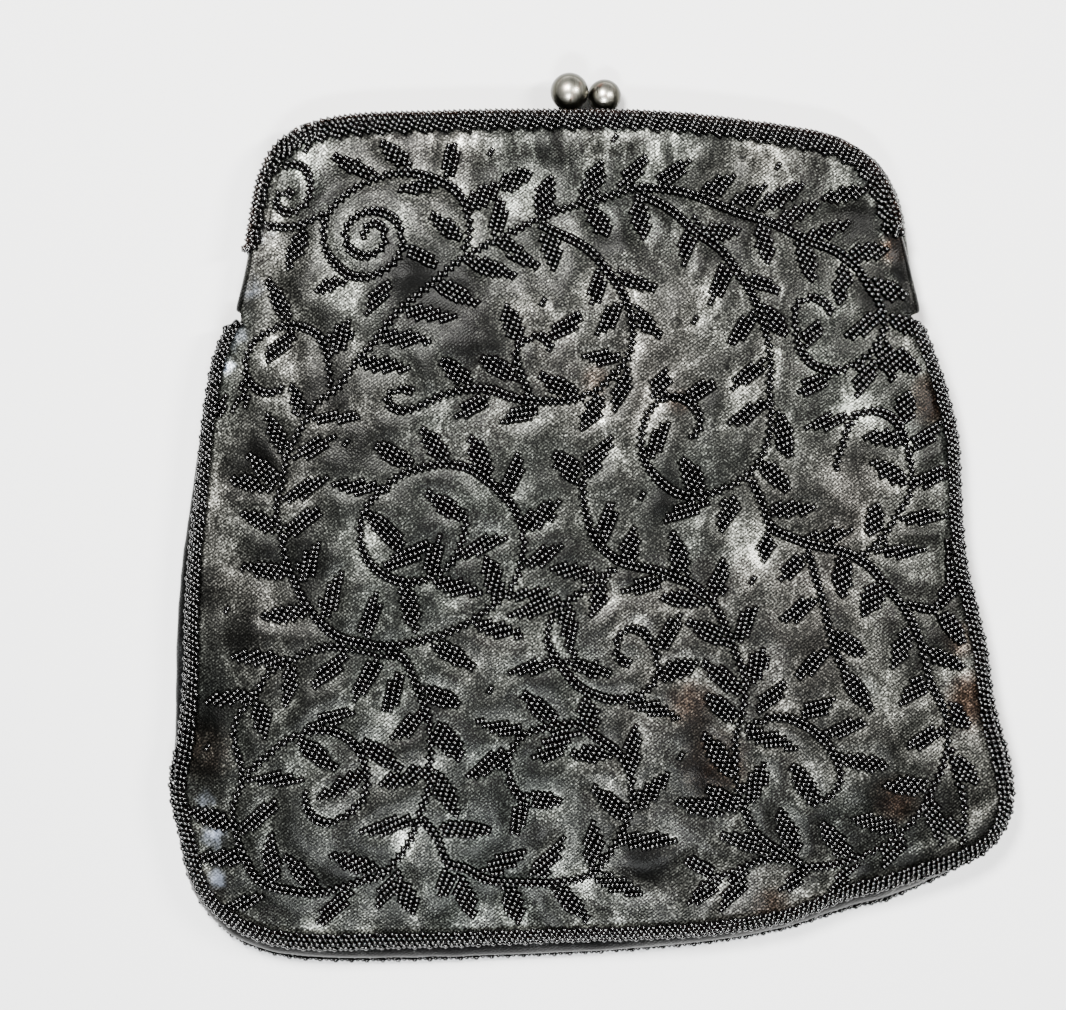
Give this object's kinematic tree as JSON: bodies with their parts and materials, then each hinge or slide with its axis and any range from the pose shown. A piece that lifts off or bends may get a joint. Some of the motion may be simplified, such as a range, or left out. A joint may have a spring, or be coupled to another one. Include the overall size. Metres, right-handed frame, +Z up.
{
  "type": "beaded clutch",
  "caption": "Black satin evening clutch with scrolling seed bead vines, beaded seams and a satin covered frame that closes with a ball clasp.",
  "frame": {"origin": "bottom centre of the whole clutch as it lies on its back", "axes": "+X to the right of the front face, +Y from the bottom seam to the clasp, +Z up out of the front face"},
  "size_m": [0.2276, 0.2418, 0.0166],
  "materials": {
    "satin": "black satin, charcoal and pale green grey where it catches light, softly puckered",
    "gusset_satin": "plain black satin, bluish where it catches light",
    "seed_beads": "opaque jet black glass seed beads, glossy",
    "clasp_nickel": "polished nickel, slightly warm and dulled"
  },
  "bodies": {
    "root": {"front_panel": "satin", "back_panel": "satin", "side_gusset": "gusset_satin", "front_trim": "seed_beads", "back_trim": "seed_beads", "front_frame_sleeve": "satin", "back_frame_sleeve": "satin", "front_frame_beads": "seed_beads", "back_frame_beads": "seed_beads", "front_clasp_frame": "clasp_nickel", "back_clasp_frame": "clasp_nickel", "left_hinge_pin": "clasp_nickel", "right_hinge_pin": "clasp_nickel"}
  },
  "joints": []
}
